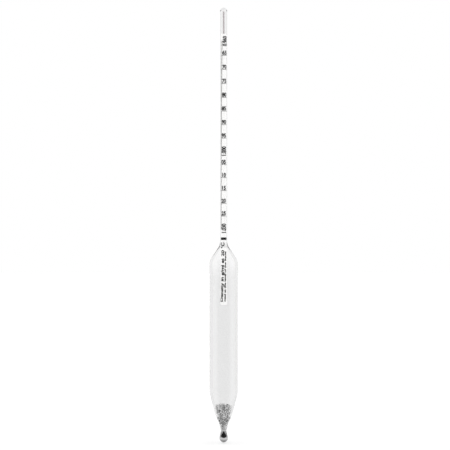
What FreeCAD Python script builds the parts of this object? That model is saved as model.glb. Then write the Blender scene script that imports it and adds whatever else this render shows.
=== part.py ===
"""Glass hydrometer for brewing and winemaking: sealed float, rolled paper scale, shot ballast.

Millimetres. +Z runs up the axis of the glass, and the origin is the lowest point of the tip.
The scale is read from -Y.
"""

import FreeCAD, Part
import math
import os
import random

import Sketcher

DIMENSIONS = [
    ("total_length", 300.0, "tip to the top of the stem"),
    ("stem_dia", 4.82, "outside of the stem"),
    ("stem_wall", 0.36, "glass wall of the stem"),
    ("crown_wall", 0.9, "glass over the top end of the stem's bore"),
    ("weld_z", 140.0, "where the stem is welded to the float"),
    ("neck_z", 136.3, "corner of the outline between stem and shoulder"),
    ("neck_drop", 2.3, "how far the bore's neck corner sits below the outer one"),
    ("neck_round", 8.0, "outer radius of the hollow at the neck"),
    ("shoulder_z", 125.5, "corner of the outline between shoulder and barrel"),
    ("shoulder_drop", 0.5, "how far the bore's shoulder corner sits below the outer one"),
    ("shoulder_round", 10.0, "outer radius of the shoulder"),
    ("body_dia", 19.5, "outside of the barrel"),
    ("body_wall", 1.757, "glass wall of the barrel"),
    ("taper_z", 34.2, "corner of the outline between barrel and taper"),
    ("taper_round", 20.0, "outer radius at the top of the taper"),
    ("knee_dia", 11.4, "outside where the taper steepens"),
    ("knee_wall", 0.8, "glass wall there, measured level"),
    ("knee_z", 19.2, "height of that corner"),
    ("knee_round", 8.0, "radius at that corner"),
    ("foot_dia", 5.8, "outside where the foot starts"),
    ("foot_wall", 0.9, "glass wall there, measured level"),
    ("foot_z", 12.8, "height of that corner"),
    ("foot_round", 9.0, "radius at that corner"),
    ("waist_dia", 3.6, "outside where the tip bead is welded on"),
    ("waist_z", 8.1, "height of that weld"),
    ("pit_dia", 2.2, "bottom of the float's hollow"),
    ("pit_z", 8.5, "height of the bottom of the hollow"),
    ("bead_dia", 5.8, "solid glass bead at the tip"),
    ("core_dia", 2.6, "black drop in the bead"),
    ("core_centre_z", 4.25, "centre of the drop's round end"),
    ("core_top_z", 7.9, "point of the drop"),
    ("paper_dia", 4.04, "rolled paper in the stem"),
    ("paper_thick", 0.1, "paper"),
    ("paper_gap", 0.03, "air between the layers where the paper overlaps"),
    ("paper_width", 16.6, "the sheet's width before rolling"),
    ("paper_top_z", 281.8, "top edge of the paper"),
    ("paper_open_z", 133.0, "below this the roll opens a little"),
    ("paper_end_z", 95.0, "bottom edge of the paper"),
    ("paper_end_dia", 5.2, "the roll at its bottom edge"),
    ("glue_high", 15.2, "run of glue down the bore to the paper's top edge"),
    ("glue_deep", 0.14, "how far the run stands off the glass at its top"),
    ("glue_arc", 24.0, "how far round the bore the run goes, in degrees"),
    ("shot_dia", 1.3, "steel shot"),
    ("shot_gap", 0.03, "least air between shot, and between shot and glass"),
    ("heap_z", 27.8, "top of the heap of shot on the axis"),
    ("heap_dia", 12.8, "the heap at its top, between the glass"),
    ("heap_crown", 1.8, "how much lower the heap is at its rim"),
    ("heap_lean", 0.4, "how much lower the heap's rim is at +X than at its middle"),
    ("resin_z", 17.1, "level of the binder pooled in the foot"),
]

SHEET = "dims"
TRIES_PER_PELLET = 60
SETTLING_STEPS = 60
STEP_SHRINK = 0.93  # each settling step that finds nothing lower makes the next one smaller
PELLET_SEED = 7
SPIRAL_POINTS = 33
TOUCH = 1e-4  # how close a point has to be to count as the one meant


class Size:
    """A length with the sheet expression that makes it."""

    def __init__(self, number, text):
        self.number = number
        self.text = text

    def __add__(self, other):
        return Size(self.number + other.number, f"({self.text} + {other.text})")

    def __sub__(self, other):
        return Size(self.number - other.number, f"({self.text} - {other.text})")

    def __truediv__(self, divisor):
        return Size(self.number / divisor, f"({self.text} / {divisor})")


def make_sheet(doc):
    """The driving dimensions, one row each: name, value, meaning."""
    sheet = doc.addObject("Spreadsheet::Sheet", SHEET)
    for row, (name, value, meaning) in enumerate(DIMENSIONS, start=1):
        sheet.set(f"A{row}", name)
        sheet.set(f"B{row}", str(value))
        sheet.setAlias(f"B{row}", name)
        sheet.set(f"C{row}", meaning)
    doc.recompute()
    return sheet


def reader(sheet):
    """A function that gives the named dimension as a Size."""

    def dim(name):
        return Size(float(getattr(sheet, name)), f"{SHEET}.{name}")

    return dim


def add_body(doc, name):
    body = doc.addObject("PartDesign::Body", name)
    body.Label = name
    return body


def origin_plane(body, role):
    return next(plane for plane in body.Origin.OriginFeatures if plane.Role == role)


def bind(sketch, constraint, size):
    index = sketch.addConstraint(constraint)
    sketch.setExpression(f"Constraints[{index}]", size.text)


def pin_point(sketch, edge, end, across, up):
    """Holds one end of an edge at (across, up); None leaves that direction free or on the axis."""
    if across is None:
        sketch.addConstraint(Sketcher.Constraint("PointOnObject", edge, end, -2))
    else:
        bind(sketch, Sketcher.Constraint("DistanceX", -1, 1, edge, end, across.number), across)
    if up is not None:
        bind(sketch, Sketcher.Constraint("DistanceY", -1, 1, edge, end, up.number), up)


def point(across, up):
    return FreeCAD.Vector(across.number if across else 0.0, up.number, 0.0)


def outline_sketch(body, name, corners):
    """A closed outline of straight edges in the body's XZ plane, one (across, up) pair a corner."""
    sketch = body.newObject("Sketcher::SketchObject", name)
    sketch.AttachmentSupport = [(origin_plane(body, "XZ_Plane"), "")]
    sketch.MapMode = "FlatFace"
    places = [point(*corner) for corner in corners]
    for start, end in zip(places, places[1:] + places[:1]):
        sketch.addGeometry(Part.LineSegment(start, end))
    count = len(corners)
    for edge in range(count):
        sketch.addConstraint(Sketcher.Constraint("Coincident", edge, 2, (edge + 1) % count, 1))
    for edge, (across, up) in enumerate(corners):
        pin_point(sketch, edge, 1, across, up)
    return sketch


def revolve(body, sketch, name):
    turned = body.newObject("PartDesign::Revolution", name)
    turned.Profile = sketch
    turned.ReferenceAxis = (sketch, ["V_Axis"])
    turned.Angle = 360.0
    sketch.Document.recompute()
    return turned


def ring_edges(shape, corners):
    """Names of the circles of a turned shape that pass through the given corners."""
    names = []
    for number, edge in enumerate(shape.Edges, start=1):
        curve = edge.Curve
        if not isinstance(curve, Part.Circle):
            continue
        for across, up in corners:
            if math.hypot(curve.Radius - across.number, curve.Center.z - up.number) < TOUCH:
                names.append(f"Edge{number}")
    return names


def round_corners(body, name, corners, radius):
    """Fillets the turned body's circles at the corners."""
    base = body.Tip
    rounded = body.newObject("PartDesign::Fillet", name)
    rounded.Base = (base, ring_edges(base.Shape, corners))
    rounded.setExpression("Radius", radius.text)
    body.Document.recompute()
    return rounded


def turned_solid(doc, name, corners, rounds):
    """A body turned from an outline, with (corner, radius) rounds."""
    body = add_body(doc, name)
    revolve(body, outline_sketch(body, f"{name}_outline", corners), f"{name}_turned")
    for number, (corner, radius) in enumerate(rounds, start=1):
        round_corners(body, f"{name}_round_{number}", [corner], radius)
    return body


def cut(doc, name, base, tool):
    result = doc.addObject("Part::Cut", name)
    result.Label = name
    result.Base = base
    result.Tool = tool
    return result


def outer_corners(dim):
    """The float's outer outline from the waist up, without the axis."""
    return [
        (dim("waist_dia") / 2, dim("waist_z")),
        (dim("foot_dia") / 2, dim("foot_z")),
        (dim("knee_dia") / 2, dim("knee_z")),
        (dim("body_dia") / 2, dim("taper_z")),
        (dim("body_dia") / 2, dim("shoulder_z")),
        (dim("stem_dia") / 2, dim("neck_z")),
        (dim("stem_dia") / 2, dim("weld_z")),
    ]


def hollow_corners(dim):
    """The outline of the float's hollow from its bottom up, without the axis."""
    barrel = dim("body_dia") / 2 - dim("body_wall")
    bore = dim("stem_dia") / 2 - dim("stem_wall")
    return [
        (dim("pit_dia") / 2, dim("pit_z")),
        (dim("foot_dia") / 2 - dim("foot_wall"), dim("foot_z")),
        (dim("knee_dia") / 2 - dim("knee_wall"), dim("knee_z")),
        (barrel, dim("taper_z")),
        (barrel, dim("shoulder_z") - dim("shoulder_drop")),
        (bore, dim("neck_z") - dim("neck_drop")),
        (bore, dim("weld_z")),
    ]


def make_hollow(doc, dim, name):
    """The space inside the float, as a solid."""
    wall = hollow_corners(dim)
    corners = [(None, dim("pit_z")), *wall, (None, dim("weld_z"))]
    rounds = [
        (wall[3], dim("taper_round") - dim("body_wall")),
        (wall[4], dim("shoulder_round") - dim("body_wall")),
        (wall[5], dim("neck_round") + dim("body_wall")),
    ]
    return turned_solid(doc, name, corners, rounds)


def make_float_body(doc, dim):
    """The wide glass tube, drawn in at the shoulder and tapered to the waist."""
    wall = outer_corners(dim)
    corners = [(None, dim("waist_z")), *wall, (None, dim("weld_z"))]
    rounds = [
        (wall[1], dim("foot_round")),
        (wall[2], dim("knee_round")),
        (wall[3], dim("taper_round")),
        (wall[4], dim("shoulder_round")),
        (wall[5], dim("neck_round")),
    ]
    outside = turned_solid(doc, "float_outside", corners, rounds)
    return cut(doc, "float_body", outside, make_hollow(doc, dim, "float_hollow"))


def round_topped_sketch(body, name, radius, low, crown):
    """Half of a round-topped rod: an upright edge and a quarter arc about the axis."""
    sketch = body.newObject("Sketcher::SketchObject", name)
    sketch.AttachmentSupport = [(origin_plane(body, "XZ_Plane"), "")]
    sketch.MapMode = "FlatFace"
    spring = crown - radius
    axis_low, wall_low = point(None, low), point(radius, low)
    wall_high, top = point(radius, spring), point(None, crown)
    circle = Part.Circle(point(None, spring), FreeCAD.Vector(0, 0, 1), radius.number)
    sketch.addGeometry(Part.LineSegment(axis_low, wall_low))
    sketch.addGeometry(Part.LineSegment(wall_low, wall_high))
    sketch.addGeometry(Part.ArcOfCircle(circle, 0.0, math.pi / 2))
    sketch.addGeometry(Part.LineSegment(top, axis_low))
    for edge in range(4):
        sketch.addConstraint(Sketcher.Constraint("Coincident", edge, 2, (edge + 1) % 4, 1))
    pin_point(sketch, 0, 1, None, low)
    pin_point(sketch, 1, 1, radius, low)
    pin_point(sketch, 2, 3, None, spring)
    pin_point(sketch, 2, 1, radius, spring)
    sketch.addConstraint(Sketcher.Constraint("PointOnObject", 3, 1, -2))
    return sketch


def round_topped_rod(doc, name, radius, low, crown):
    body = add_body(doc, name)
    revolve(body, round_topped_sketch(body, f"{name}_outline", radius, low, crown), f"{name}_turned")
    return body


def make_stem_tube(doc, dim):
    """The slim tube with its sealed round top, from the weld up."""
    outer = dim("stem_dia") / 2
    top = dim("total_length")
    outside = round_topped_rod(doc, "stem_outside", outer, dim("weld_z"), top)
    bore = outer - dim("stem_wall")
    inside = round_topped_rod(doc, "stem_bore", bore, dim("weld_z"), top - dim("crown_wall"))
    return cut(doc, "stem_tube", outside, inside)


def drop_sketch(body, name, radius, centre, neck, neck_z):
    """Half of a drop: an arc from its lowest point, then a tangent edge up to (neck, neck_z)."""
    sketch = body.newObject("Sketcher::SketchObject", name)
    sketch.AttachmentSupport = [(origin_plane(body, "XZ_Plane"), "")]
    sketch.MapMode = "FlatFace"
    reach = neck.number if neck else 0.0
    rise = neck_z.number - centre.number
    lean = math.asin(radius.number / math.hypot(reach, rise)) - math.atan2(reach, rise)
    circle = Part.Circle(point(None, centre), FreeCAD.Vector(0, 0, 1), radius.number)
    arc = Part.ArcOfCircle(circle, -math.pi / 2, lean)
    sketch.addGeometry(arc)
    sketch.addGeometry(Part.LineSegment(arc.EndPoint, point(neck, neck_z)))
    ends = [point(neck, neck_z), arc.StartPoint]
    if neck:
        sketch.addGeometry(Part.LineSegment(ends[0], point(None, neck_z)))
        ends[0] = point(None, neck_z)
    sketch.addGeometry(Part.LineSegment(*ends))
    last = sketch.GeometryCount - 1
    sketch.addConstraint(Sketcher.Constraint("Tangent", 0, 2, 1, 1))
    for edge in range(1, last):
        sketch.addConstraint(Sketcher.Constraint("Coincident", edge, 2, edge + 1, 1))
    sketch.addConstraint(Sketcher.Constraint("Coincident", last, 2, 0, 1))
    pin_point(sketch, 0, 3, None, centre)
    sketch.addConstraint(Sketcher.Constraint("PointOnObject", 0, 1, -2))
    bind(sketch, Sketcher.Constraint("Radius", 0, radius.number), radius)
    pin_point(sketch, 1, 2, neck, neck_z)
    if neck:
        pin_point(sketch, 2, 2, None, neck_z)
    return sketch


def drop_body(doc, name, radius, centre, neck, neck_z):
    body = add_body(doc, name)
    sketch = drop_sketch(body, f"{name}_outline", radius, centre, neck, neck_z)
    revolve(body, sketch, f"{name}_turned")
    return body


def make_tip(doc, dim):
    """The solid bead that closes the foot, and the black drop sealed in it."""
    ball = dim("bead_dia") / 2
    neck = dim("waist_dia") / 2
    bead = drop_body(doc, "bead_outside", ball, ball, neck, dim("waist_z"))
    core = drop_body(
        doc, "tip_core", dim("core_dia") / 2, dim("core_centre_z"), None, dim("core_top_z")
    )
    return cut(doc, "tip_bead", bead, core), core


def spiral(dim, outer_dia, level, inset):
    """The rolled sheet's line at one level: one turn and more, each turn a layer further in."""
    radius = outer_dia.number / 2
    turn = dim("paper_width").number / (radius - dim("paper_thick").number / 2)
    pitch = (dim("paper_thick").number + dim("paper_gap").number) / (2 * math.pi)
    points = []
    for step in range(SPIRAL_POINTS):
        angle = turn * step / (SPIRAL_POINTS - 1)
        reach = radius - inset - pitch * angle
        heading = math.pi / 2 + angle
        points.append(FreeCAD.Vector(reach * math.cos(heading), reach * math.sin(heading), level.number))
    curve = Part.BSplineCurve()
    curve.interpolate(points)
    return curve.toShape()


def paper_section(dim, outer_dia, level):
    outside = spiral(dim, outer_dia, level, 0.0)
    inside = spiral(dim, outer_dia, level, dim("paper_thick").number)
    start = Part.LineSegment(inside.firstVertex().Point, outside.firstVertex().Point).toShape()
    end = Part.LineSegment(outside.lastVertex().Point, inside.lastVertex().Point).toShape()
    return Part.Wire([start, outside, end, inside])


def make_scale_paper(doc, dim):
    """One sheet rolled to fit the stem; its tail opens a little inside the float."""
    sections = [
        paper_section(dim, dim("paper_end_dia"), dim("paper_end_z")),
        paper_section(dim, dim("paper_dia"), dim("paper_open_z")),
        paper_section(dim, dim("paper_dia"), dim("paper_top_z")),
    ]
    return add_shape(doc, "scale_paper", Part.makeLoft(sections, True, True))


def add_shape(doc, name, shape):
    feature = doc.addObject("Part::Feature", name)
    feature.Label = name
    feature.Shape = shape
    feature.Placement = FreeCAD.Placement()
    return feature


def make_scale_glue(doc, dim):
    """A run of glue down the front of the bore, thickest at its top, that holds the paper's edge."""
    bore = dim("stem_dia") / 2 - dim("stem_wall")
    low = dim("paper_top_z")
    high = low + dim("glue_high")
    corners = [(bore, low), (bore, high), (bore - dim("glue_deep"), high)]
    body = add_body(doc, "scale_glue")
    run = revolve(body, outline_sketch(body, "scale_glue_outline", corners), "scale_glue_turned")
    run.setExpression("Angle", dim("glue_arc").text)
    run.Midplane = True
    facing_front = FreeCAD.Rotation(FreeCAD.Vector(0, 0, 1), -90)
    body.Placement = FreeCAD.Placement(FreeCAD.Vector(), facing_front)
    return body


def wall_rise(across, low, high, reach):
    """Lowest height at which a ball of radius reach, off the axis by across, clears one cone."""
    run = high[0].number - low[0].number
    climb = high[1].number - low[1].number
    lean = math.atan2(run, climb)
    return low[1].number + (across + reach / math.cos(lean) - low[0].number) / math.tan(lean)


class Heap:
    """Shot lying in the foot, each pellet settled as low as the glass and the others let it."""

    def __init__(self, dim):
        self.radius = dim("shot_dia").number / 2
        self.reach = self.radius + dim("shot_gap").number
        self.rim = dim("heap_dia").number / 2
        self.top = dim("heap_z").number
        self.crown = dim("heap_crown").number
        self.lean = dim("heap_lean").number
        self.wall = hollow_corners(dim)[:4]
        self.draw = random.Random(PELLET_SEED)
        self.places = []

    def lowest(self, x, y):
        """Height of a pellet's centre let down at (x, y)."""
        pit, foot, knee, barrel = self.wall
        across = math.hypot(x, y)
        level = min(wall_rise(across, pit, foot, self.reach), wall_rise(across, foot, knee, self.reach))
        level = max(level, wall_rise(across, knee, barrel, self.reach), pit[1].number + self.reach)
        apart = self.radius + self.reach
        for near_x, near_y, near_z in self.places:
            aside = (x - near_x) ** 2 + (y - near_y) ** 2
            if aside < apart * apart:
                level = max(level, near_z + math.sqrt(apart * apart - aside))
        return level

    def random_column(self):
        across = (self.rim - self.radius) * math.sqrt(self.draw.random())
        heading = 2 * math.pi * self.draw.random()
        x, y = across * math.cos(heading), across * math.sin(heading)
        return x, y, self.lowest(x, y)

    def settled(self, place):
        """The place after small sideways steps, each kept only if it lies lower."""
        step = self.radius / 2
        for _ in range(SETTLING_STEPS):
            x = place[0] + self.draw.uniform(-step, step)
            y = place[1] + self.draw.uniform(-step, step)
            level = self.lowest(x, y)
            if level < place[2]:
                place = (x, y, level)
            else:
                step *= STEP_SHRINK
        return place

    def surface(self, x, y):
        """The heap's top: a shallow dome that leans towards +X."""
        share = math.hypot(x, y) / self.rim
        return self.top - self.crown * share * share - self.lean * x / self.rim

    def room(self, place):
        """Height between a pellet and the heap's top above it; below 0 the pellet stands proud."""
        x, y, z = place
        return self.surface(x, y) - z - self.radius

    def fill(self):
        while True:
            columns = [self.random_column() for _ in range(TRIES_PER_PELLET)]
            place = self.settled(max(columns, key=self.room))
            if self.room(place) < 0:
                return self.places
            self.places.append(place)


def make_ballast(doc, dim):
    """The shot, and the binder that has pooled round the lower part of it."""
    radius = dim("shot_dia").number / 2
    pellets = [Part.makeSphere(radius, FreeCAD.Vector(*place)) for place in Heap(dim).fill()]
    shot = add_shape(doc, "ballast_shot", Part.makeCompound(pellets))
    pool = doc.addObject("Part::Cylinder", "resin_level")
    pool.setExpression("Radius", (dim("body_dia") / 2).text)
    pool.setExpression("Height", dim("resin_z").text)
    filled = doc.addObject("Part::Common", "resin_pool")
    filled.Base = make_hollow(doc, dim, "resin_hollow")
    filled.Tool = pool
    return shot, cut(doc, "ballast_resin", filled, shot)


def check(doc, parts):
    """Stops if any object failed to build or any sub-part's shape is unusable."""
    failed = [o.Name for o in doc.Objects if {"Invalid", "Error"} & set(o.State)]
    if failed:
        raise RuntimeError(f"objects that failed: {failed}")
    for part in parts:
        if part.Shape.isNull() or not part.Shape.isValid():
            raise RuntimeError(f"{part.Label} has no valid shape")


def main():
    doc = FreeCAD.newDocument("hydrometer")
    dim = reader(make_sheet(doc))
    parts = [
        make_stem_tube(doc, dim),
        make_float_body(doc, dim),
        *make_tip(doc, dim),
        make_scale_paper(doc, dim),
        make_scale_glue(doc, dim),
        *make_ballast(doc, dim),
    ]
    doc.recompute()
    check(doc, parts)
    os.makedirs("parts", exist_ok=True)
    for part in parts:
        part.Shape.exportStep(f"parts/{part.Label}.step")
        solids = len(part.Shape.Solids)
        print(f"{part.Label}: {solids} solid(s), {part.Shape.Volume:.1f} mm3")


main()
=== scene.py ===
import math
import random

import bmesh
import bpy
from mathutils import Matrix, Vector


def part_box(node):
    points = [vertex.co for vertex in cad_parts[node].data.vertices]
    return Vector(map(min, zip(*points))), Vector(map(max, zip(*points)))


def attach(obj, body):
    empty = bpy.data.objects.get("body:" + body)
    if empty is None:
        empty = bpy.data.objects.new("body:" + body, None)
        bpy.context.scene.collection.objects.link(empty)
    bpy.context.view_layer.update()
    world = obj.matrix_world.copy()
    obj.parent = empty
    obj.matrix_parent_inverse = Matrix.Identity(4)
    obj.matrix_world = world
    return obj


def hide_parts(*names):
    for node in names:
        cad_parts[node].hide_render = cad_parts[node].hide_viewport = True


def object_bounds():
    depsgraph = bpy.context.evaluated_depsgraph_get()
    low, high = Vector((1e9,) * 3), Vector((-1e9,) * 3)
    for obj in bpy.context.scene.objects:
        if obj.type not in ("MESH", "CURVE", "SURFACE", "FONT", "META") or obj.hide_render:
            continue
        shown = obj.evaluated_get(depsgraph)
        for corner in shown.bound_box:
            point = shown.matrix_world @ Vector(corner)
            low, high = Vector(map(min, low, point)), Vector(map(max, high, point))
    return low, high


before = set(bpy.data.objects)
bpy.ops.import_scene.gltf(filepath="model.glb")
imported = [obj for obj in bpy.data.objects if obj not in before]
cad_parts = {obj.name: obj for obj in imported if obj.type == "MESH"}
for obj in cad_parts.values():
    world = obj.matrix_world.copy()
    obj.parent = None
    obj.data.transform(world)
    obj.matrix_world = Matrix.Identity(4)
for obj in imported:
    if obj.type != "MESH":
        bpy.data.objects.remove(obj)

CAD_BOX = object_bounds()

MM = 0.001

STEM_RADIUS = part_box("stem_tube")[1][0]
PAPER_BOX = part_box("scale_paper")
PAPER_LOW, PAPER_HIGH = PAPER_BOX[0][2], PAPER_BOX[1][2]
PAPER_TAIL_RADIUS = (PAPER_BOX[1][0] - PAPER_BOX[0][0]) / 2

# The printed scale: relative density against height, by the law of flotation.
LOW_DENSITY, HIGH_DENSITY = 0.960, 1.030
LOW_DENSITY_Z, HIGH_DENSITY_Z = 276.8 * MM, 147.5 * MM
FINE_STEPS = 140            # graduations between the two ends
LABEL_EVERY = 10            # fine steps between labelled lines
LONG_EVERY = 2              # fine steps between the longer graduations

PAPER_THICK = 0.10 * MM
PAPER_GAP = 0.03 * MM
PAPER_WIDTH = 16.6 * MM
INK_THICK = 0.008 * MM
INK_LIFT = 0.004 * MM
PAPER_OPEN_Z = 134.0 * MM   # below this height the roll opens
PAPER_INSET = 0.42 * MM     # the rolled paper's outside, in from the stem's outside

# The rolled sheet turns on itself above one height and, the other way, below another. Each turn
# is in degrees, over the reach that follows it.
TWIST_UP_Z, TWIST_UP, TWIST_UP_REACH = 158 * MM, 19.0, 111 * MM
TWIST_DOWN_Z, TWIST_DOWN, TWIST_DOWN_REACH = 150 * MM, 25.0, 53 * MM

# Graduations, with angles measured on the paper from the middle of the scale.
LINE = 0.22 * MM
BOLDER_LINE = LINE * 1.15                       # the labelled lines
BASE_ANGLE = math.radians(-52)                  # the line that the graduations start from
SHORT_END = math.radians(-150)
LONG_END = math.radians(-185)
LABELLED_ENDS = math.radians(-230), math.radians(70)
STROKE_STEP = 0.12                              # a stroke of ink bends at least every so many radians
BAND_HEIGHTS = 139.7 * MM, 141.4 * MM           # the black ring between scale and caption

GLASS_SIDES = 128
MENISCUS_SAG = 0.35 * MM    # how far the air's lower end dips below the binder's level
RESIN_INSET = 0.06 * MM     # how far the binder's body stays inside the glass it wets
RESIN_RIM = 0.5 * MM        # its rim, down from the binder's level
TEXT_CUT = 0.18 * MM        # width of the strips that let flat lettering bend

HEIGHT_FILLED = 0.966       # share of the picture's height that the instrument fills
CAMERA_ASIDE = 0.9 * MM     # how far the camera stands to the right of the instrument's axis

BACKDROP_LIGHT = 1.0        # what is seen directly and through glass
MATT_LIGHT = 1.22           # what falls on paper, floor and other matt surfaces
MIRRORED_LIGHT = 0.20       # what the outside of the glass reflects, except at a grazing angle
SOLID_LEVEL_LIGHT = 0.62    # what solid glass bends in from the sides
SOLID_STEEP_LIGHT = 0.26    # what solid glass bends in from above and below
RIM_LIGHT = 0.88            # what glass turns back inside it, or reflects at a grazing angle
READER_SIDE_LIGHT = 0.12    # what glass turns back inside it from the reader's side

# The lights change over between these slopes of the ray, as parts of its unit length.
STEEP_SLOPES = 0.05, 0.40           # up or down: level to steep
FROM_BEHIND_SLOPES = -0.7, -0.1     # along +Y: the reader's side to the rest
GRAZING_SLOPES = 0.0, 0.8           # along +Y: sideways to straight on past the glass


# ---------------------------------------------------------------- small helpers

def new_object(name, mesh):
    obj = bpy.data.objects.new(name, mesh)
    bpy.context.scene.collection.objects.link(obj)
    return obj


def mesh_object(name, points, faces, smooth=True):
    mesh = bpy.data.meshes.new(name)
    mesh.from_pydata(points, [], faces)
    mesh.validate()
    mesh.update()
    mesh.polygons.foreach_set("use_smooth", [smooth] * len(mesh.polygons))
    return new_object(name, mesh)


def polar(angle, radius, z):
    """Angle 0 faces the reader, at -Y, and grows towards +X."""
    return (radius * math.sin(angle), -radius * math.cos(angle), z)


def finish_piece(obj, material, slot, *nodes):
    obj.data.materials.clear()
    obj.data.materials.append(material)
    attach(obj, "root")
    if nodes:
        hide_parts(*nodes)


# ---------------------------------------------------------------- materials

class Look:
    """A material under construction: its Principled shader and short ways to add nodes."""

    def __init__(self, name, **sockets):
        self.material = bpy.data.materials.new(name)
        self.material.use_nodes = True
        self.nodes = self.material.node_tree.nodes
        self.links = self.material.node_tree.links
        self.shader = self.nodes["Principled BSDF"]
        for socket, value in sockets.items():
            self.shader.inputs[socket.replace("_", " ")].default_value = value

    def add(self, kind, **inputs):
        node = self.nodes.new(kind)
        for socket, value in inputs.items():
            node.inputs[socket.replace("_", " ")].default_value = value
        return node

    def link(self, source, target):
        self.links.new(source, target)

    def place(self, stretch=(1.0, 1.0, 1.0)):
        """Object coordinates, stretched."""
        coordinates = self.add("ShaderNodeTexCoord")
        mapping = self.add("ShaderNodeMapping", Scale=stretch)
        self.link(coordinates.outputs["Object"], mapping.inputs["Vector"])
        return mapping.outputs["Vector"]

    def height(self):
        """The height on the instrument, from 0 at its tip to 1 at its top."""
        split = self.add("ShaderNodeSeparateXYZ")
        self.link(self.place((1.0, 1.0, 1.0 / CAD_BOX[1][2])), split.inputs[0])
        return split.outputs["Z"]

    def noise(self, scale, detail=3.0, roughness=0.5, stretch=(1.0, 1.0, 1.0)):
        node = self.add("ShaderNodeTexNoise", Scale=scale, Detail=detail, Roughness=roughness)
        self.link(self.place(stretch), node.inputs["Vector"])
        return node.outputs["Fac"]

    def ramp(self, factor, *stops):
        node = self.add("ShaderNodeValToRGB")
        while len(node.color_ramp.elements) < len(stops):
            node.color_ramp.elements.new(0.5)
        for element, (position, colour) in zip(node.color_ramp.elements, stops):
            element.position = position
            element.color = colour
        self.link(factor, node.inputs["Fac"])
        return node.outputs["Color"]

    def bump(self, height, strength, distance):
        node = self.add("ShaderNodeBump", Strength=strength, Distance=distance)
        self.link(height, node.inputs["Height"])
        self.link(node.outputs["Normal"], self.shader.inputs["Normal"])


def grey(value, tint=(1.0, 1.0, 1.0)):
    return (value * tint[0], value * tint[1], value * tint[2], 1.0)


def glass_look():
    look = Look("clear_glass", Roughness=0.0, IOR=1.5, Transmission_Weight=1.0)
    # Grey tint that changes with height. The 0.93 on the body and 0.965 on the stem are the glass's own
    # tint. The clear band between them, at the shoulder and neck, is painted light: it brightens edges
    # there that otherwise render too dark.
    tint = look.ramp(
        look.height(), (0.37, grey(0.93)), (0.41, grey(1.0)), (0.455, grey(1.0)), (0.48, grey(0.965)),
    )
    look.link(tint, look.shader.inputs["Base Color"])
    drawn = look.noise(900.0, 2.0, stretch=(1.0, 1.0, 0.012))
    look.bump(drawn, 0.12, 0.02 * MM)
    return look.material


def paper_look():
    look = Look("scale_paper", Roughness=0.75, Specular_IOR_Level=0.3)
    fibres = look.noise(2600.0, 6.0, 0.65)
    colour = look.ramp(fibres, (0.3, grey(0.90, (1.0, 0.995, 0.98))), (0.7, grey(0.96)))
    look.link(colour, look.shader.inputs["Base Color"])
    look.bump(fibres, 0.15, 0.02 * MM)
    return look.material


def ink_look():
    look = Look("printing_ink", Roughness=0.8, Specular_IOR_Level=0.02)
    speckle = look.noise(9000.0, 3.0, 0.6)
    colour = look.ramp(speckle, (0.35, grey(0.001)), (0.75, grey(0.006)))
    look.link(colour, look.shader.inputs["Base Color"])
    return look.material


def shot_look():
    look = Look("steel_shot", Metallic=0.35)
    tone = look.add("ShaderNodeAttribute")
    tone.attribute_name = "tone"
    colour = look.ramp(tone.outputs["Fac"], (0.0, grey(0.28)), (0.5, grey(0.66)), (1.0, grey(0.98)))
    look.link(colour, look.shader.inputs["Base Color"])
    wear = look.noise(5200.0, 4.0, 0.6)
    rough = look.ramp(wear, (0.3, grey(0.28)), (0.75, grey(0.55)))
    look.link(rough, look.shader.inputs["Roughness"])
    look.bump(wear, 0.2, 0.03 * MM)
    return look.material


def resin_look():
    look = Look("ballast_resin", Roughness=0.0, IOR=1.0, Transmission_Weight=1.0)
    cloud = look.noise(700.0, 3.0)
    clouded = look.ramp(cloud, (0.3, grey(0.96)), (0.7, grey(0.995)))
    # The binder's colour is darker towards its bottom: grey 0.55 below 3.1 % of the instrument's height,
    # clearing by 4.6 %.
    darker_low_down = look.ramp(look.height(), (0.031, grey(0.55)), (0.046, grey(1.0)))
    both = look.add("ShaderNodeMix")
    both.data_type, both.blend_type = "RGBA", "MULTIPLY"
    both.inputs[0].default_value = 1.0
    look.link(clouded, both.inputs[6])
    look.link(darker_low_down, both.inputs[7])
    look.link(both.outputs[2], look.shader.inputs["Base Color"])
    return look.material


def core_look():
    look = Look("black_glass", Roughness=0.22, Specular_IOR_Level=0.08)
    swirl = look.noise(1200.0, 4.0, 0.6)
    colour = look.ramp(swirl, (0.4, grey(0.001)), (0.75, grey(0.008)))
    look.link(colour, look.shader.inputs["Base Color"])
    return look.material


def glue_look():
    look = Look("scale_glue", Roughness=0.3)
    streak = look.noise(1500.0, 3.0, stretch=(1.0, 1.0, 0.2))
    colour = look.ramp(streak, (0.3, grey(0.42, (1.0, 0.90, 0.92))), (0.7, grey(0.55, (1.0, 0.92, 0.94))))
    look.link(colour, look.shader.inputs["Base Color"])
    return look.material


def floor_look():
    look = Look("floor", Roughness=0.9, Specular_IOR_Level=0.0)
    mottle = look.noise(3.0, 2.0)
    colour = look.ramp(mottle, (0.3, grey(0.88)), (0.7, grey(0.90)))
    look.link(colour, look.shader.inputs["Base Color"])
    return look.material


# ---------------------------------------------------------------- glass

def rings(node, inner):
    """Radius and height of each ring of a turned node's outer skin, or of its bore, lowest first."""
    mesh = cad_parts[node].data
    found = set()
    for face in mesh.polygons:
        outward = Vector((face.center.x, face.center.y, 0.0)).normalized()
        facing = face.normal.dot(outward)
        if (facing < -0.02) if inner else (facing > 0.02):
            for index in face.vertices:
                x, y, z = mesh.vertices[index].co
                found.add((round(z, 6), round(math.hypot(x, y), 6)))
    return [(radius, z) for z, radius in sorted(found)]


def densify(outline, spacing):
    """Points along the straight edges of an outline, at most spacing apart."""
    points = [outline[0]]
    for (r0, z0), (r1, z1) in zip(outline, outline[1:]):
        steps = max(1, math.ceil(math.hypot(r1 - r0, z1 - z0) / spacing))
        for step in range(1, steps + 1):
            share = step / steps
            points.append((r0 + (r1 - r0) * share, z0 + (z1 - z0) * share))
    return points


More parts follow.
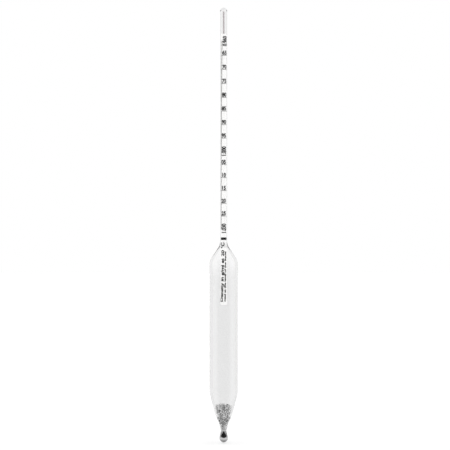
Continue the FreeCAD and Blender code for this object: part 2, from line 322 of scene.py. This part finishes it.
def blown(outline, spacing, reach):
    """The outline as flame-worked glass has it: evened out over a length of reach."""
    points = densify(outline, spacing)
    span = math.ceil(reach / spacing)
    mirrored = [(-r, z) for r, z in points[span:0:-1]] + points
    mirrored += [(-r, z) for r, z in points[-2:-span - 2:-1]]
    weights = [math.cos(math.pi / 2 * k / (span + 1)) ** 2 for k in range(-span, span + 1)]
    total = sum(weights)
    result = []
    for index in range(len(points)):
        window = mirrored[index:index + 2 * span + 1]
        radius = sum(w * r for w, (r, _) in zip(weights, window)) / total
        height = sum(w * z for w, (_, z) in zip(weights, window)) / total
        result.append((radius, height))
    result[0] = (0.0, result[0][1])
    result[-1] = (0.0, result[-1][1])
    return result


def thinned(outline, tolerance):
    """Drops the points of an outline that lie on the line between the ones kept."""
    if len(outline) < 3:
        return outline
    (r0, z0), (r1, z1) = outline[0], outline[-1]
    length = math.hypot(r1 - r0, z1 - z0) or 1.0
    offsets = [abs((r - r0) * (z1 - z0) - (z - z0) * (r1 - r0)) / length for r, z in outline]
    worst = max(range(len(outline)), key=offsets.__getitem__)
    if offsets[worst] <= tolerance:
        return [outline[0], outline[-1]]
    return thinned(outline[:worst + 1], tolerance)[:-1] + thinned(outline[worst:], tolerance)


def lathe(outline, sides, inward=False):
    """Points and faces of a closed turned skin; its outline starts and ends on the axis, lowest first."""
    points = [(0.0, 0.0, outline[0][1])]
    for radius, z in outline[1:-1]:
        points += [polar(2 * math.pi * k / sides, radius, z) for k in range(sides)]
    points.append((0.0, 0.0, outline[-1][1]))
    last = len(points) - 1
    rows = len(outline) - 2
    faces = []
    for k in range(sides):
        after = (k + 1) % sides
        faces.append((0, 1 + after, 1 + k))
        top = 1 + (rows - 1) * sides
        faces.append((last, top + k, top + after))
        for row in range(rows - 1):
            a, b = 1 + row * sides, 1 + (row + 1) * sides
            faces.append((a + k, a + after, b + after, b + k))
    if inward:
        faces = [face[::-1] for face in faces]
    return points, faces


def joined(*parts):
    points, faces = [], []
    for part_points, part_faces in parts:
        start = len(points)
        points += part_points
        faces += [tuple(start + index for index in face) for face in part_faces]
    return points, faces


def radius_at(outline, z):
    """Radius of an outline at one height."""
    for (r0, z0), (r1, z1) in zip(outline, outline[1:]):
        if min(z0, z1) <= z <= max(z0, z1) and z0 != z1:
            return r0 + (r1 - r0) * (z - z0) / (z1 - z0)
    return 0.0


def glass_outlines():
    """Outer skin, and the air space above the binder, both from the axis round to the axis."""
    bead, body, stem = (rings(node, False) for node in ("tip_bead", "float_body", "stem_tube"))
    low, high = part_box("tip_bead")[0][2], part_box("stem_tube")[1][2]
    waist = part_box("float_body")[0][2]
    skin = [(0.0, low)] + [p for p in bead if low < p[1] <= waist] + body + stem
    skin = [p for p in skin if p[1] < high] + [(0.0, high)]
    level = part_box("ballast_resin")[1][2]
    hollow = [p for p in rings("float_body", True) if p[0] > 0.1 * MM]
    bore = [p for p in rings("stem_tube", True) if p[0] > 0.05 * MM]
    crown = max(z for _, z in rings("stem_tube", True))
    wet = radius_at(hollow, level)
    sag = MENISCUS_SAG
    meniscus = [(0.0, level - sag), (wet * 0.55, level - sag * 0.8), (wet * 0.85, level - sag * 0.2)]
    air = meniscus + [(wet, level + sag)] + [p for p in hollow if p[1] > level + sag]
    air += [p for p in bore if p[1] > air[-1][1]] + [(0.0, crown)]
    return skin, air


def make_glass(look):
    skin, air = glass_outlines()
    outer = thinned(blown(skin, 0.25 * MM, 0.9 * MM), 0.002 * MM)
    inner = thinned(blown(air, 0.25 * MM, 0.6 * MM), 0.002 * MM)
    parts = joined(lathe(outer, GLASS_SIDES), lathe(inner, GLASS_SIDES, inward=True))
    glass = mesh_object("glass_envelope", *parts)
    finish_piece(glass, look, "clear_glass", "stem_tube", "float_body", "tip_bead")


# ---------------------------------------------------------------- paper and print

def ease(share):
    share = min(1.0, max(0.0, share))
    return share * share * (3 - 2 * share)


def paper_radius(z):
    """Outer radius of the rolled paper: the stem's bore holds it, and its tail opens below."""
    closed = STEM_RADIUS - PAPER_INSET
    share = ease((PAPER_OPEN_Z - z) / (PAPER_OPEN_Z - PAPER_LOW) * 0.7)
    return closed + (PAPER_TAIL_RADIUS - closed) * share


def paper_twist(z):
    """How far the roll has turned on itself at one height; the middle of the scale faces the reader."""
    above = max(0.0, z - TWIST_UP_Z) / TWIST_UP_REACH
    below = max(0.0, TWIST_DOWN_Z - z) / TWIST_DOWN_REACH
    return math.radians(TWIST_UP * above ** 2.2 - TWIST_DOWN * below ** 1.2)


def spiral_point(z, share, depth):
    """A point of the rolled sheet: share runs across its width, depth from its outer face inwards."""
    radius = paper_radius(z)
    turn = PAPER_WIDTH / (radius - PAPER_THICK / 2)
    pitch = (PAPER_THICK + PAPER_GAP) / (2 * math.pi)
    angle = turn * share
    return polar(math.pi + angle + paper_twist(z), radius - pitch * angle - depth, z)


def make_paper(look):
    """The sheet as one closed skin: outer face, inner face and the four cut edges."""
    low, high = PAPER_LOW, PAPER_HIGH
    rows, columns = 120, 96
    points = []
    for depth in (0.0, PAPER_THICK):
        for row in range(rows + 1):
            z = low + (high - low) * row / rows
            points += [spiral_point(z, column / columns, depth) for column in range(columns + 1)]
    wide = columns + 1
    layer = wide * (rows + 1)
    faces = []
    for row in range(rows):
        for column in range(columns):
            a = row * wide + column
            faces.append((a, a + 1, a + 1 + wide, a + wide))
            faces.append((layer + a, layer + a + wide, layer + a + 1 + wide, layer + a + 1))
        for column in (0, columns):
            a = row * wide + column
            faces.append((a, a + wide, layer + a + wide, layer + a))
    for column in range(columns):
        for row in (0, rows):
            a = row * wide + column
            faces.append((a, layer + a, layer + a + 1, a + 1))
    paper = mesh_object("paper_roll", points, faces)
    tidy = bmesh.new()
    tidy.from_mesh(paper.data)
    bmesh.ops.recalc_face_normals(tidy, faces=tidy.faces)
    tidy.to_mesh(paper.data)
    tidy.free()
    paper.data.set_sharp_from_angle(angle=math.radians(40))
    finish_piece(paper, look, "paper", "scale_paper")


def scale_height(density):
    """Height on the stem that floats level with a liquid of that density."""
    reach = 1 / LOW_DENSITY - 1 / HIGH_DENSITY
    share = (1 / density - 1 / HIGH_DENSITY) / reach
    return HIGH_DENSITY_Z + (LOW_DENSITY_Z - HIGH_DENSITY_Z) * share


def on_paper(angle, z, lift):
    """A point of the print: angle is measured on the paper from the middle of the scale."""
    return polar(angle + paper_twist(z), paper_radius(z) + INK_LIFT + lift, z)


def stroke(angle_low, angle_high, z_low, z_high, steps_round, steps_up=1):
    """Points and faces of a thin closed patch of ink on the paper."""
    points, faces = [], []
    for lift in (0.0, INK_THICK):
        for up in range(steps_up + 1):
            z = z_low + (z_high - z_low) * up / steps_up
            for k in range(steps_round + 1):
                angle = angle_low + (angle_high - angle_low) * k / steps_round
                points.append(on_paper(angle, z, lift))
    wide = steps_round + 1
    layer = wide * (steps_up + 1)
    for up in range(steps_up):
        for k in range(steps_round):
            a = up * wide + k
            faces.append((a, a + wide, a + 1 + wide, a + 1))
            faces.append((layer + a, layer + a + 1, layer + a + 1 + wide, layer + a + wide))
    for up in range(steps_up):
        a, b = up * wide, up * wide + steps_round
        faces.append((a, layer + a, layer + a + wide, a + wide))
        faces.append((b, b + wide, layer + b + wide, layer + b))
    for k in range(steps_round):
        a, b = k, steps_up * wide + k
        faces.append((a, a + 1, layer + a + 1, layer + a))
        faces.append((b, layer + b, layer + b + 1, b + 1))
    return points, faces


def make_graduations(look):
    """The fine graduations beside the base line, and the labelled lines that run round the roll."""
    parts = []
    for step in range(FINE_STEPS + 1):
        density = LOW_DENSITY + (HIGH_DENSITY - LOW_DENSITY) * step / FINE_STEPS
        z = scale_height(density)
        if step % LABEL_EVERY == 0:
            (low, high), line = LABELLED_ENDS, BOLDER_LINE
        elif step % LONG_EVERY == 0:
            low, high, line = LONG_END, BASE_ANGLE, LINE
        else:
            low, high, line = SHORT_END, BASE_ANGLE, LINE
        steps = max(8, round((high - low) / STROKE_STEP))
        parts.append(stroke(low, high, z - line / 2, z + line / 2, steps))
    top, bottom = scale_height(LOW_DENSITY), scale_height(HIGH_DENSITY)
    half = LINE / 2 / paper_radius(top)
    parts.append(stroke(BASE_ANGLE - half, BASE_ANGLE + half, bottom, top, 2, 90))
    marks = mesh_object("scale_graduations", *joined(*parts), smooth=False)
    finish_piece(marks, look, "paper")


def make_band(look):
    """The black ring printed between the scale and the caption."""
    ring = stroke(-math.pi * 1.02, math.pi * 0.98, *BAND_HEIGHTS, 96, 2)
    finish_piece(mesh_object("scale_band", *ring, smooth=False), look, "paper")


def flat_lettering(text, height, bold):
    """Lettering as a flat closed mesh centred on the origin, its capitals that high."""
    curve = bpy.data.curves.new("lettering", "FONT")
    curve.body = text
    curve.align_x = "CENTER"
    curve.extrude = 0.5
    curve.resolution_u = 5
    curve.offset = bold
    holder = new_object("lettering", curve)
    bpy.context.view_layer.update()
    mesh = bpy.data.meshes.new_from_object(holder)
    bpy.data.objects.remove(holder)
    bpy.data.curves.remove(curve)
    flat = bmesh.new()
    flat.from_mesh(mesh)
    bpy.data.meshes.remove(mesh)
    bmesh.ops.remove_doubles(flat, verts=flat.verts, dist=1e-5)
    capital = 0.729
    for vert in flat.verts:
        vert.co.x *= height / capital
        vert.co.y = (vert.co.y - capital / 2) * height / capital
    return flat


def cut_strips(flat, axis, spacing):
    """Cuts flat lettering into strips across one axis, so that it can bend."""
    values = [vert.co[axis] for vert in flat.verts]
    normal = Vector((axis == 0, axis == 1, 0))
    level = math.ceil(min(values) / spacing) * spacing
    while level < max(values):
        bmesh.ops.bisect_plane(
            flat, geom=flat.verts[:] + flat.edges[:] + flat.faces[:], dist=1e-8,
            plane_co=normal * level, plane_no=normal,
        )
        level += spacing


def lettering(text, height, length, middle, angle, upright=False, bold=0.042):
    """Lettering wrapped on the paper; it reads across if upright, else from the bottom to the top."""
    flat = flat_lettering(text, height, bold)
    reach = max(abs(vert.co.x) for vert in flat.verts)
    for vert in flat.verts:
        vert.co.x *= length / 2 / reach
    if not upright:
        for vert in flat.verts:
            vert.co.x, vert.co.y = -vert.co.y, vert.co.x
    cut_strips(flat, 0, TEXT_CUT)
    if not upright:
        cut_strips(flat, 1, 1.5 * MM)
    points = []
    for vert in flat.verts:
        z = middle + vert.co.y
        round_angle = angle + vert.co.x / paper_radius(z)
        points.append(on_paper(round_angle, z, INK_THICK * (0.5 + vert.co.z)))
    faces = [[vert.index for vert in face.verts] for face in flat.faces]
    flat.free()
    return points, faces


def make_numerals(look):
    """Full values, turned to read up the stem, at the ends and at 1.000; two digits elsewhere."""
    parts = []
    for step in range(0, FINE_STEPS + 1, LABEL_EVERY):
        density = LOW_DENSITY + (HIGH_DENSITY - LOW_DENSITY) * step / FINE_STEPS
        z = scale_height(density)
        thousandths = round(density * 1000)
        if thousandths in (960, 1000, 1030):
            parts.append(lettering(f"{density:.3f}", 3.0 * MM, 6.9 * MM, z, 0.0))
        else:
            text = f"{thousandths % 100:02d}"
            parts.append(lettering(text, 2.75 * MM, 3.1 * MM, z + 1.95 * MM, 0.0, upright=True))
    numerals = mesh_object("scale_numerals", *joined(*parts), smooth=False)
    finish_piece(numerals, look, "paper")


def make_caption(look):
    """Two lines that read up the sheet, the smaller one to the right of the other."""
    parts = [
        lettering("Density in g/ml at 20 °C", 2.1 * MM, 41.0 * MM, 117.5 * MM, math.radians(-16)),
        lettering("read at the level of the liquid", 1.4 * MM, 34.0 * MM, 114.3 * MM, math.radians(43)),
    ]
    caption = mesh_object("scale_caption", *joined(*parts), smooth=False)
    finish_piece(caption, look, "paper")


# ---------------------------------------------------------------- foot

def islands(mesh):
    """The separate solids of a mesh, each as a list of points."""
    work = bmesh.new()
    work.from_mesh(mesh)
    bmesh.ops.remove_doubles(work, verts=work.verts, dist=1e-6)
    seen, result = set(), []
    for start in work.verts:
        if start in seen:
            continue
        stack, group = [start], []
        seen.add(start)
        while stack:
            vert = stack.pop()
            group.append(vert.co.copy())
            for edge in vert.link_edges:
                other = edge.other_vert(vert)
                if other not in seen:
                    seen.add(other)
                    stack.append(other)
        result.append(group)
    work.free()
    return result


def make_shot(look):
    """Cast shot: every pellet where the CAD has it, slightly uneven, each with its own tone."""
    ball = bmesh.new()
    bmesh.ops.create_icosphere(ball, subdivisions=3, radius=1.0)
    shape = [vert.co.copy() for vert in ball.verts]
    shape_faces = [[vert.index for vert in face.verts] for face in ball.faces]
    ball.free()
    draw = random.Random(11)
    parts, tones = [], []
    for group in islands(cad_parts["ballast_shot"].data):
        centre = sum(group, Vector()) / len(group)
        radius = sum((point - centre).length for point in group) / len(group)
        lobe = Vector((draw.uniform(-1, 1), draw.uniform(-1, 1), draw.uniform(-1, 1))).normalized()
        squash = draw.uniform(0.02, 0.07)
        points = [centre + p * radius * (1 - squash * p.dot(lobe) ** 2) for p in shape]
        parts.append(([tuple(p) for p in points], shape_faces))
        tones += [draw.random()] * len(shape)
    shot = mesh_object("shot_pellets", *joined(*parts))
    tone = shot.data.attributes.new("tone", "FLOAT", "POINT")
    tone.data.foreach_set("value", tones)
    finish_piece(shot, look, "shot", "ballast_shot")


def make_resin(look):
    """The binder's body, just inside the glass it wets, under its dished surface."""
    wall = [p for p in rings("float_body", True) if p[0] > 0.1 * MM]
    low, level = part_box("ballast_resin")[0][2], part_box("ballast_resin")[1][2]
    rim_z = level - RESIN_RIM
    outline = [(0.0, low + RESIN_INSET)]
    outline += [(r - RESIN_INSET, z) for r, z in wall if low + RESIN_INSET < z < rim_z]
    rim = radius_at(wall, rim_z) - RESIN_INSET
    outline += [(rim, rim_z), (rim * 0.7, rim_z - 0.05 * MM), (0.0, rim_z - 0.1 * MM)]
    resin = mesh_object("resin_pool", *lathe(thinned(densify(outline, 0.4 * MM), 0.002 * MM), 64))
    finish_piece(resin, look, "resin", "ballast_resin")


def dress_node(node, look):
    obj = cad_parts[node]
    obj.data.materials.clear()
    obj.data.materials.append(look)


# ---------------------------------------------------------------- stage

def make_floor():
    size = 6.0
    floor = mesh_object(
        "floor", [(-size, -size, 0.0), (size, -size, 0.0), (size, size, 0.0), (-size, size, 0.0)],
        [(0, 1, 2, 3)], smooth=False,
    )
    floor.location.z = -0.5 * MM
    floor.visible_transmission = False
    floor.data.materials.append(floor_look())


def make_world():
    """White light all round, with no lamps. It is stronger where it falls on matt surfaces, and it
    is dim where glass mirrors the reader's side, at -Y, or bends light in steeply. In a studio,
    diffusers and dark flags do the same."""
    world = bpy.data.worlds.new("studio")
    bpy.context.scene.world = world
    world.use_nodes = True
    nodes, links = world.node_tree.nodes, world.node_tree.links

    def light(strength):
        node = nodes.new("ShaderNodeBackground")
        node.inputs["Color"].default_value = (1.0, 1.0, 1.0, 1.0)
        node.inputs["Strength"].default_value = strength
        return node.outputs[0]

    def choose(factor, first, second):
        node = nodes.new("ShaderNodeMixShader")
        for source, target in zip((factor, first, second), node.inputs):
            links.new(source, target)
        return node.outputs[0]

    def combine(operation, first, second):
        node = nodes.new("ShaderNodeMath")
        node.operation = operation
        links.new(first, node.inputs[0])
        if isinstance(second, float):
            node.inputs[1].default_value = second
        else:
            links.new(second, node.inputs[1])
        return node.outputs[0]

    def rise(value, start, end):
        """0 up to start, 1 from end on, and an even slope between them."""
        node = nodes.new("ShaderNodeMapRange")
        node.inputs["From Min"].default_value = start
        node.inputs["From Max"].default_value = end
        links.new(value, node.inputs["Value"])
        return node.outputs["Result"]

    path = nodes.new("ShaderNodeLightPath").outputs
    mirrored = combine("MULTIPLY", path["Is Glossy Ray"], path["Is Reflection Ray"])
    matt = combine("GREATER_THAN", path["Diffuse Depth"], 0.5)
    direction = nodes.new("ShaderNodeSeparateXYZ")
    links.new(nodes.new("ShaderNodeTexCoord").outputs["Generated"], direction.inputs[0])
    steep = rise(combine("ABSOLUTE", direction.outputs["Z"], 0.0), *STEEP_SLOPES)
    bent = choose(steep, light(SOLID_LEVEL_LIGHT), light(SOLID_STEEP_LIGHT))
    two_faces = combine("LESS_THAN", path["Transmission Depth"], 2.5)
    solid = combine("MULTIPLY", path["Is Transmission Ray"], two_faces)
    turned_back = combine("GREATER_THAN", path["Glossy Depth"], 0.5)
    from_behind = rise(direction.outputs["Y"], *FROM_BEHIND_SLOPES)
    returned = choose(from_behind, light(READER_SIDE_LIGHT), light(RIM_LIGHT))
    grazing = rise(direction.outputs["Y"], *GRAZING_SLOPES)
    glint = choose(grazing, light(MIRRORED_LIGHT), light(RIM_LIGHT))
    behind = choose(solid, light(BACKDROP_LIGHT), bent)
    behind = choose(turned_back, behind, returned)
    seen = choose(mirrored, behind, glint)
    surface = choose(matt, seen, light(MATT_LIGHT))
    links.new(surface, nodes["World Output"].inputs["Surface"])


def make_camera():
    """A long lens level with the middle of the instrument, which nearly fills the frame's height."""
    low, high = CAD_BOX
    frame_height = (high[2] - low[2]) / HEIGHT_FILLED
    lens = bpy.data.cameras.new("camera")
    lens.lens, lens.sensor_width = 200.0, 36.0
    camera = bpy.data.objects.new("camera", lens)
    bpy.context.scene.collection.objects.link(camera)
    distance = frame_height * lens.lens / lens.sensor_width
    camera.location = (CAMERA_ASIDE, -distance, (low[2] + high[2]) / 2)
    camera.rotation_euler = (math.pi / 2, 0.0, 0.0)
    bpy.context.scene.camera = camera


make_camera()
make_world()
make_floor()
bpy.context.scene.view_settings.view_transform = "Standard"
bpy.context.scene.cycles.blur_glossy = 0.0      # keeps the light that reaches the paper through glass

make_glass(glass_look())
make_paper(paper_look())
ink = ink_look()
make_graduations(ink)
make_band(ink)
make_numerals(ink)
make_caption(ink)
make_shot(shot_look())
make_resin(resin_look())
dress_node("tip_core", core_look())
dress_node("scale_glue", glue_look())
